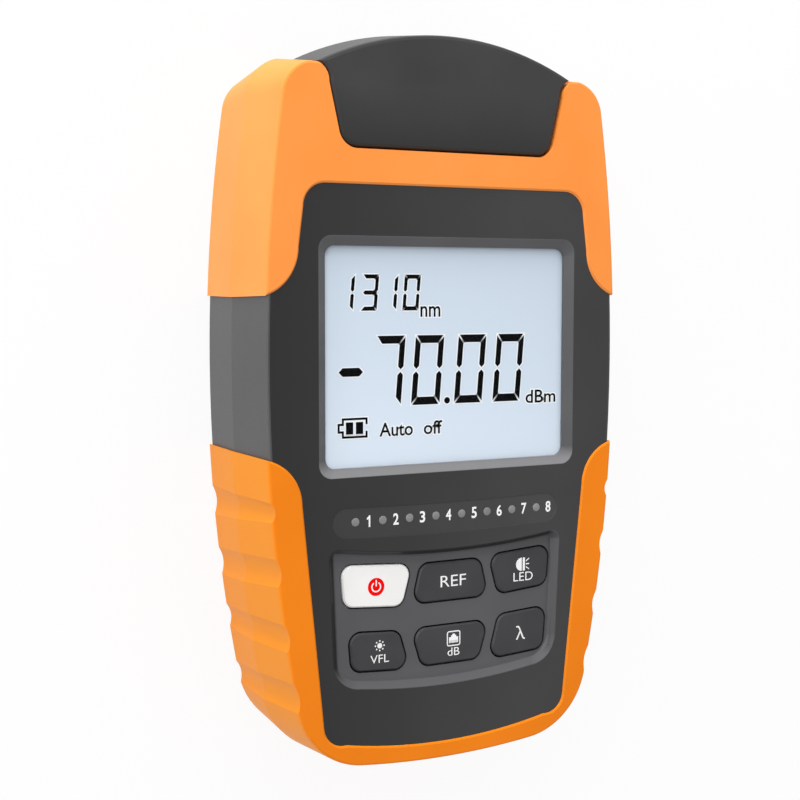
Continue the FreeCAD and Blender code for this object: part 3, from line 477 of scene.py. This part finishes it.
# Display content. Places and sizes are in millimetres, words as (text, x, y, height, width).
display = {
    "smallDigits": (("1", -19.7), ("3", -15.42), ("1", -11.9), ("0", -7.78)),  # with their left edges
    "small": {"low": 15.4, "height": 5.85, "width": 2.95, "bar": 0.66, "upright": 0.58, "gap": 0.1},
    "bigDigits": (("7", -13.2), ("0", -5.95), ("0", 2.16), ("0", 9.65)),
    "big": {"low": -0.2, "height": 11.5, "width": 5.35, "bar": 1.3, "upright": 1.0, "gap": 0.13},
    "lean": 4.6,  # degrees
    "minus": {"left": -19.5, "middle": 5.5, "width": 4.34, "height": 1.4},
    "dot": (0.4, 0.35, 0.55),  # x, y and radius
    "battery": {"corner": (-18.95, -5.2), "width": 4.6, "height": 3.3, "line": 0.36, "knob": 0.75,
                "knobLow": 0.26, "knobHigh": 0.74, "gapLow": 0.34, "gapHigh": 0.66,
                "bars": ((0.73, 2.02), (2.5, 3.8)), "barLow": 0.64, "barHigh": 0.7},
    "words": (("nm", -2.8, 15.2, 1.78, 3.73), ("dBm", 18.9, 0.45, 2.25, 6.1),
              ("Auto", -9.12, -4.05, 2.3, 6.15), ("off", -2.25, -4.05, 2.25, 3.48)),
    "inkBoldness": 0.012, "haloBoldness": 0.06, "haloRoom": 0.4,  # of the words
    "halo": 0.17, "inkThickness": 0.02 * mm, "haloThickness": 0.01 * mm,
}
segmentsOf = {"0": "abcdef", "1": "bc", "3": "abgcd", "7": "abc"}


def digitOutlines(digit, left, size, lean):
    # Seven-segment digit of mitred bars, leaning to the right
    low = size["low"]
    high = low + size["height"]
    right = left + size["width"]
    middle = (low + high) / 2
    bar = size["bar"]
    side = size["upright"]
    gap = size["gap"]
    half = bar / 2
    mitre = gap * 1.5
    inset = gap * 3
    shoulder = gap + half * 0.9  # where an upright starts to narrow to its point

    def upright(outer, inner, end, way):
        # Bar along one side, from the mitred corner to its point at the middle
        tip = (outer + inner) / 2
        return [(outer, end - way * gap * 2), (outer, middle + way * shoulder), (tip, middle + way * mitre),
                (inner, middle + way * shoulder), (inner, end - way * (bar + gap))]

    def level(edge, way):
        # Bar along the top or the bottom
        return [(left + mitre, edge), (right - mitre, edge), (right - side - gap, edge - way * bar),
                (left + side + gap, edge - way * bar)]

    bars = {
        "a": level(high, 1), "d": level(low, -1),
        "b": upright(right, right - side, high, 1), "c": upright(right, right - side, low, -1),
        "f": upright(left, left + side, high, 1), "e": upright(left, left + side, low, -1),
        "g": [(left + inset, middle), (left + half + inset, middle + half),
              (right - half - inset, middle + half), (right - inset, middle),
              (right - half - inset, middle - half), (left + half + inset, middle - half)],
    }
    slope = math.tan(math.radians(lean))
    return [[(x + (y - middle) * slope, y) for x, y in bars[name]] for name in segmentsOf[digit]]


def minusOutline(look):
    # Flat bar with pointed ends
    x = look["left"]
    y = look["middle"]
    width = look["width"]
    half = look["height"] / 2
    return [(x, y), (x + half, y + half), (x + width - half, y + half), (x + width, y),
            (x + width - half, y - half), (x + half, y - half)]


def batteryOutlines(look):
    # Outline of a cell with two full bars, open at its right end
    w = look["width"]
    h = look["height"]
    t = look["line"]
    out = look["knob"]
    low = h * look["knobLow"]
    high = h * look["knobHigh"]
    gapLow = h * look["gapLow"]
    gapHigh = h * look["gapHigh"]
    case = [(w, gapHigh), (w, h), (0, h), (0, high), (-out, high), (-out, low), (0, low), (0, 0), (w, 0),
            (w, gapLow), (w - t, gapLow), (w - t, t), (t, t), (t, low + t), (t - out, low + t),
            (t - out, high - t), (t, high - t), (t, h - t), (w - t, h - t), (w - t, gapHigh)]
    bars = [boxOutline(left, look["barLow"], right, h - look["barHigh"]) for left, right in look["bars"]]
    return [placed(*look["corner"], outline) for outline in bars + [case]]


def buildDisplay(look):
    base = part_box("display")[1][2]
    ink = []
    for digit, left in look["smallDigits"]:
        ink += digitOutlines(digit, left, look["small"], look["lean"])
    for digit, left in look["bigDigits"]:
        ink += digitOutlines(digit, left, look["big"], look["lean"])
    ink.append(minusOutline(look["minus"]))
    ink.append(discOutline(*look["dot"]))
    ink += batteryOutlines(look["battery"])
    halo = [grownOutline(outline, look["halo"]) for outline in ink]
    haloMeshes = [plateMesh("halo", halo, base, look["haloThickness"])]
    inkBase = base + look["haloThickness"]
    inkMeshes = [plateMesh("ink", ink, inkBase, look["inkThickness"])]
    room = look["haloRoom"]
    for words, x, y, height, width in look["words"]:
        inkMeshes.append(textMesh("ink", words, x, y, height, width, inkBase,
                                  look["inkThickness"], look["inkBoldness"]))
        haloMeshes.append(textMesh("halo", words, x, y, height + room, width + room, base,
                                   look["haloThickness"], look["haloBoldness"]))
    halos = joinMeshes("display_halo", haloMeshes)
    addPiece("display_halo", halos, crystalHalo, "housing")
    segments = joinMeshes("display_segments", inkMeshes)
    addPiece("display_segments", segments, crystalBlack, "housing")


buildDisplay(display)
print("display content made")

# Prints on the keys, in millimetres. Words are (key, text, x, y, height, width).
keyPrints = {
    "inkThickness": 0.02 * mm, "boldness": -0.003,
    "words": (("reference_key", "REF", 1.35, -30.15, 1.9, 4.9),
              ("fault_locator_key", "VFL", -12.5, -41.95, 1.35, 3.4),
              ("loss_key", "dB", 1.45, -42.35, 1.35, 2.3),
              ("lamp_key", "LED", 15.2, -30.75, 1.5, 3.9)),
    "power": {"centre": (-13.15, -29.85), "radius": 1.5, "inner": 0.68, "outer": 0.9,
              "start": 125, "end": 415, "bar": (-0.11, 0.1, 0.11, 1.15)},
    "sun": {"centre": (-12.5, -39.75), "core": 0.45, "dots": 8, "reach": 0.8, "dot": 0.14},
    "lamp": {"centre": (15.0, -28.6), "radius": 1.15, "halfAt": -0.1, "rimStart": 0.1, "rimEnd": 0.55,
             "rayStart": 0.75, "rayEnd": 1.4, "rayStartRise": 0.5, "rayEndRise": 0.95, "rayHalf": 0.1},
    "socket": {"centre": (1.45, -40.1), "half": 1.3, "line": 0.19, "corner": 0.4, "contacts": 7,
               "contactStart": -0.88, "contactPitch": 0.26, "contactWidth": 0.18,
               "contactLow": -0.75, "contactHigh": -0.3,
               "plug": ((-0.88, -0.3), (0.88, -0.3), (0.88, 0.25), (0.5, 0.25), (0.5, 0.55), (0.24, 0.55),
                        (0.24, 0.8), (-0.24, 0.8), (-0.24, 0.55), (-0.5, 0.55), (-0.5, 0.25),
                        (-0.88, 0.25))},
    "lambda": {"centre": (14.75, -40.6),
               "stroke": ((-0.85, 1.2), (-0.35, 1.2), (-0.1, 0.85), (0.62, -0.85), (0.8, -0.98),
                          (0.9, -0.98), (0.9, -1.2), (0.6, -1.2), (0.36, -0.95), (-0.36, 0.78),
                          (-0.5, 0.95), (-0.85, 0.95)),
               "leg": ((-0.02, 0.05), (-0.16, 0.28), (-0.9, -1.2), (-0.6, -1.2))},
}


def sunOutlines(look):
    # Disc with a ring of dots, for visible light
    x, y = look["centre"]
    reach = look["reach"]
    dots = [discOutline(x, y, look["core"], sides=20)]
    for i in range(look["dots"]):
        angle = 2 * math.pi * i / look["dots"]
        across = x + reach * math.cos(angle)
        along = y + reach * math.sin(angle)
        dots.append(discOutline(across, along, look["dot"], sides=10))
    return dots


def lampOutlines(look):
    # Half disc, its rim and three rays
    radius = look["radius"]
    thin = look["rayHalf"]
    half = arcPoints(look["halfAt"], 0, radius, 90, 270)
    rim = boxOutline(look["rimStart"], -radius, look["rimEnd"], radius)
    rays = []
    for rise in (-1, 0, 1):
        near = rise * look["rayStartRise"]
        far = rise * look["rayEndRise"]
        rays.append([(look["rayStart"], near - thin), (look["rayEnd"], far - thin),
                     (look["rayEnd"], far + thin), (look["rayStart"], near + thin)])
    return [placed(*look["centre"], outline) for outline in [half, rim] + rays]


def socketOutlines(look):
    # Rounded frame round a modular plug with its row of contacts
    a = look["half"]
    t = look["line"]
    r = look["corner"]
    frameBars = [boxOutline(r - a, a - t, a - r, a), boxOutline(r - a, -a, a - r, t - a),
                 boxOutline(-a, r - a, t - a, a - r), boxOutline(a - t, r - a, a, a - r)]
    corners = [arcBand(across * (a - r), along * (a - r), r - t, r, start, start + 90, steps=8)
               for across, along, start in ((1, 1, 0), (-1, 1, 90), (-1, -1, 180), (1, -1, 270))]
    contacts = []
    for i in range(look["contacts"]):
        left = look["contactStart"] + look["contactPitch"] * i
        right = left + look["contactWidth"]
        contacts.append(boxOutline(left, look["contactLow"], right, look["contactHigh"]))
    parts = frameBars + corners + [look["plug"]] + contacts
    return [placed(*look["centre"], outline) for outline in parts]


def buildKeyPrints(look):
    thick = look["inkThickness"]
    signs = {"fault_locator_key": sunOutlines(look["sun"]), "lamp_key": lampOutlines(look["lamp"]),
             "loss_key": socketOutlines(look["socket"])}
    for keyName, words, x, y, height, width in look["words"]:
        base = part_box(keyName)[1][2]
        meshes = [textMesh(keyName, words, x, y, height, width, base, thick, look["boldness"])]
        if keyName in signs:
            meshes.append(plateMesh(keyName, signs[keyName], base, thick))
        addPiece(keyName + "_print", joinMeshes(keyName, meshes), whiteInk, keyName)
    letter = look["lambda"]
    strokes = [placed(*letter["centre"], letter["stroke"]), placed(*letter["centre"], letter["leg"])]
    mesh = plateMesh("lambda", strokes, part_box("wavelength_key")[1][2], thick)
    addPiece("wavelength_key_print", mesh, whiteInk, "wavelength_key")
    power = look["power"]
    x, y = power["centre"]
    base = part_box("power_key")[1][2]
    disc = plateMesh("power", [discOutline(x, y, power["radius"], sides=40)], base, thick)
    addPiece("power_disc", disc, redInk, "power_key")
    mark = [arcBand(x, y, power["inner"], power["outer"], power["start"], power["end"], steps=36),
            placed(x, y, boxOutline(*power["bar"]))]
    addPiece("power_mark", plateMesh("mark", mark, base + thick, thick), whiteInk, "power_key")


buildKeyPrints(keyPrints)
print("key prints made")

# Indicator strip: a film let into the panel, with numbers and the domed tops of the light pipes.
# Millimetres, but for the levels and thicknesses.
indicators = {
    "count": 8, "pitch": 4.93, "line": -18.7, "radius": 0.7, "height": 0.14,
    "numberOffset": 2.4, "numberHeight": 1.9, "numberWidth": 1.0, "numberBoldness": 0.02,
    "inkThickness": 0.015 * mm, "pipeProud": 0.12 * mm, "filmThickness": 0.27 * mm,
    "filmHalf": 18.9, "filmMiddle": -18.8, "filmRadius": 2.48, "lowBow": 0.4, "highBow": 0.3,
    "oneStroke": (-0.03, 0.25),  # left and right edge of the figure 1
    # Corners of the figure's flag: x, and how far below its top
    "oneFlag": ((0.05, 0), (-0.1, 0.22), (-0.36, 0.42), (-0.36, 0.72), (-0.03, 0.55)),
}


def domeRowTree(material):
    # Row of low domes: one flattened ball on each point of a line
    tree = bpy.data.node_groups.new("domeRow", "GeometryNodeTree")
    face = tree.interface
    face.new_socket("Geometry", in_out="OUTPUT", socket_type="NodeSocketGeometry")
    sockets = {}
    for label, kind in (("Count", "NodeSocketInt"), ("Start", "NodeSocketVector"),
                        ("Pitch", "NodeSocketVector"), ("Radius", "NodeSocketFloat"),
                        ("Flatness", "NodeSocketVector")):
        sockets[label] = face.new_socket(label, in_out="INPUT", socket_type=kind).identifier
    entry = addNode(tree, "NodeGroupInput")
    line = addNode(tree, "GeometryNodeMeshLine", None, {"Count": entry.outputs["Count"],
                                                        "Start Location": entry.outputs["Start"],
                                                        "Offset": entry.outputs["Pitch"]})
    ball = addNode(tree, "GeometryNodeMeshUVSphere", {"Segments": 24, "Rings": 12},
                   {"Radius": entry.outputs["Radius"]})
    spread = addNode(tree, "GeometryNodeInstanceOnPoints", None,
                     {"Points": line.outputs["Mesh"], "Instance": ball.outputs["Mesh"],
                      "Scale": entry.outputs["Flatness"]})
    real = addNode(tree, "GeometryNodeRealizeInstances", None, {"Geometry": spread.outputs["Instances"]})
    finish = addNode(tree, "GeometryNodeSetMaterial", {"Material": material},
                     {"Geometry": real.outputs["Geometry"]})
    addNode(tree, "NodeGroupOutput", None, {"Geometry": finish.outputs["Geometry"]})
    return tree, sockets


def fromTree(name, tree, values):
    # Plain mesh from a node tree with its inputs set by identifier
    holder = bpy.data.objects.new(name, bpy.data.meshes.new(name + "_seed"))
    bpy.context.scene.collection.objects.link(holder)
    modifier = holder.modifiers.new("nodes", "NODES")
    modifier.node_group = tree
    for identifier, value in values.items():
        modifier[identifier] = value
    bpy.context.view_layer.update()
    shape = holder.evaluated_get(bpy.context.evaluated_depsgraph_get())
    mesh = bpy.data.meshes.new_from_object(shape)
    holder.modifiers.clear()
    bpy.data.objects.remove(holder)
    return mesh


def filmOutline(look):
    # Long film with round ends, its long edges slightly bowed
    half = look["filmHalf"]
    middle = look["filmMiddle"]
    radius = look["filmRadius"]
    steps = 12  # on each side of the middle
    shares = [i / steps - 1 for i in range(1, 2 * steps)]
    low = [(half * t, middle - radius - look["lowBow"] * (1 - t * t)) for t in shares]
    high = [(-half * t, middle + radius - look["highBow"] * (1 - t * t)) for t in shares]
    return low + arcPoints(half, middle, radius, -90, 90) + high + arcPoints(-half, middle, radius, 90, 270)


def oneOutline(x, y, look):
    # Figure 1: a straight stroke with a flag at its top
    half = look["numberHeight"] / 2
    left, right = look["oneStroke"]
    flag = [(x + across, y + half - fall) for across, fall in look["oneFlag"]]
    return [(x + right, y - half), (x + right, y + half)] + flag + [(x + left, y - half)]


def buildIndicators(look):
    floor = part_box("light_pipes")[1][2] - look["pipeProud"]
    top = floor + look["filmThickness"]
    film = plateMesh("film", [filmOutline(look)], floor, look["filmThickness"])
    addPiece("indicator_film", film, overlayFilm, "housing")
    first = -look["pitch"] * (look["count"] - 1) / 2
    tree, sockets = domeRowTree(frostedPipe)
    values = {sockets["Count"]: look["count"],
              sockets["Start"]: (first * mm, (look["line"] + outlineShift) * mm, top),
              sockets["Pitch"]: (look["pitch"] * mm, 0.0, 0.0),
              sockets["Radius"]: look["radius"] * mm,
              sockets["Flatness"]: (1.0, 1.0, look["height"] / look["radius"])}
    domes = fromTree("domes", tree, values)
    addPiece("indicator_domes", domes, frostedPipe, "housing")
    one = oneOutline(first + look["numberOffset"], look["line"], look)
    numbers = [plateMesh("number", [one], top, look["inkThickness"])]
    for i in range(1, look["count"]):
        x = first + look["pitch"] * i + look["numberOffset"]
        numbers.append(textMesh("number", str(i + 1), x, look["line"], look["numberHeight"],
                                look["numberWidth"], top, look["inkThickness"], look["numberBoldness"]))
    row = joinMeshes("indicator_numbers", numbers)
    addPiece("indicator_numbers", row, whiteInk, "housing")


buildIndicators(indicators)
print("indicator strip made")

studio = {
    # Pale floor, a hair under the object so that the two don't share a plane
    "floorSize": 3.0, "floorLevel": -0.05 * mm, "floorColour": "f2f2f2", "floorGlow": 0.9,
    "worldLight": 0.52,
    # Soft square lamps: place and size in metres, power in watts, and whether gloss shows them.
    # The end and fill lamps don't show there, so they lay no glare over the front.
    "lamps": {"high lamp": {"place": (-0.45, 0.35, 0.55), "size": 0.5, "power": 1.6, "glossy": True},
              "side lamp": {"place": (-0.6, 0.05, 0.07), "size": 0.35, "power": 1.6, "glossy": True},
              "end lamp": {"place": (-0.05, 0.6, 0.18), "size": 0.45, "power": 4.2, "glossy": False},
              "fill lamp": {"place": (0.35, -0.5, 0.2), "size": 0.5, "power": 0.9, "glossy": False}},
    "lampTarget": (0, 0, 0.01),
    # Camera: its place in millimetres from the outlines' zero, and the directions it holds
    "cameraPlace": (-111.709, 18.934, 227.007), "forward": (0.452541, -0.079847, -0.888162),
    "right": (0.891036, 0.000824, 0.453932), "up": (0.035513, 0.996807, -0.071520),
    "lens": 62.48, "sensor": 36, "clipStart": 0.01, "clipEnd": 20,
}


def buildFloor(look):
    # Matt floor that keeps the shadow, and glows white to the camera and in reflections
    material = bpy.data.materials.new("pale studio floor")
    material.use_nodes = True
    tree = material.node_tree
    tree.nodes.clear()
    output = addNode(tree, "ShaderNodeOutputMaterial")
    matt = addNode(tree, "ShaderNodeBsdfDiffuse", {"Color": linearColour(look["floorColour"])})
    glow = addNode(tree, "ShaderNodeEmission", {"Color": (1, 1, 1, 1), "Strength": 1.0})
    seen = addNode(tree, "ShaderNodeLightPath")
    direct = addNode(tree, "ShaderNodeMath", {"operation": "MAXIMUM"})
    tree.links.new(seen.outputs["Is Camera Ray"], direct.inputs[0])
    tree.links.new(seen.outputs["Is Glossy Ray"], direct.inputs[1])
    share = addNode(tree, "ShaderNodeMath", {"operation": "MULTIPLY"})
    share.inputs[1].default_value = look["floorGlow"]
    tree.links.new(direct.outputs["Value"], share.inputs[0])
    mix = addNode(tree, "ShaderNodeMixShader", None, {"Fac": share.outputs["Value"]})
    tree.links.new(matt.outputs["BSDF"], mix.inputs[1])
    tree.links.new(glow.outputs["Emission"], mix.inputs[2])
    tree.links.new(mix.outputs["Shader"], output.inputs["Surface"])
    half = look["floorSize"] / 2
    level = look["floorLevel"]
    mesh = bpy.data.meshes.new("studio_floor")
    corners = [(-half, -half, level), (half, -half, level), (half, half, level), (-half, half, level)]
    mesh.from_pydata(corners, [], [(0, 1, 2, 3)])
    floor = bpy.data.objects.new("studio_floor", mesh)
    mesh.materials.append(material)
    bpy.context.scene.collection.objects.link(floor)


def buildWorld(look):
    # Even light on the object, plain white to the camera
    world = bpy.data.worlds.new("soft studio")
    bpy.context.scene.world = world
    world.use_nodes = True
    tree = world.node_tree
    tree.nodes.clear()
    output = addNode(tree, "ShaderNodeOutputWorld")
    seen = addNode(tree, "ShaderNodeLightPath")
    strength = addNode(tree, "ShaderNodeMapRange", {"To Min": look["worldLight"], "To Max": 1.0},
                       {"Value": seen.outputs["Is Camera Ray"]})
    sky = addNode(tree, "ShaderNodeBackground", {"Color": (1, 1, 1, 1)},
                  {"Strength": strength.outputs["Result"]})
    tree.links.new(sky.outputs["Background"], output.inputs["Surface"])


def buildLamps(look):
    for name, values in look["lamps"].items():
        lamp = bpy.data.lights.new(name, "AREA")
        lamp.shape = "SQUARE"
        lamp.size = values["size"]
        lamp.energy = values["power"]
        holder = bpy.data.objects.new(name, lamp)
        holder.location = values["place"]
        holder.visible_glossy = values["glossy"]
        aim = Vector(look["lampTarget"]) - Vector(values["place"])
        holder.rotation_euler = aim.to_track_quat("-Z", "Y").to_euler()
        bpy.context.scene.collection.objects.link(holder)


def buildCamera(look):
    camera = bpy.data.cameras.new("camera")
    camera.lens = look["lens"]
    camera.sensor_width = look["sensor"]
    camera.clip_start = look["clipStart"]
    camera.clip_end = look["clipEnd"]
    holder = bpy.data.objects.new("camera", camera)
    x, y, z = look["cameraPlace"]
    turn = Matrix([look["right"], look["up"], [-value for value in look["forward"]]]).transposed()
    place = Matrix.Translation((x * mm, (y + outlineShift) * mm, z * mm))
    holder.matrix_world = place @ turn.to_4x4()
    bpy.context.scene.collection.objects.link(holder)
    bpy.context.scene.camera = holder


buildFloor(studio)
buildWorld(studio)
buildLamps(studio)
buildCamera(studio)
bpy.context.scene.view_settings.view_transform = "Standard"
print("studio made")
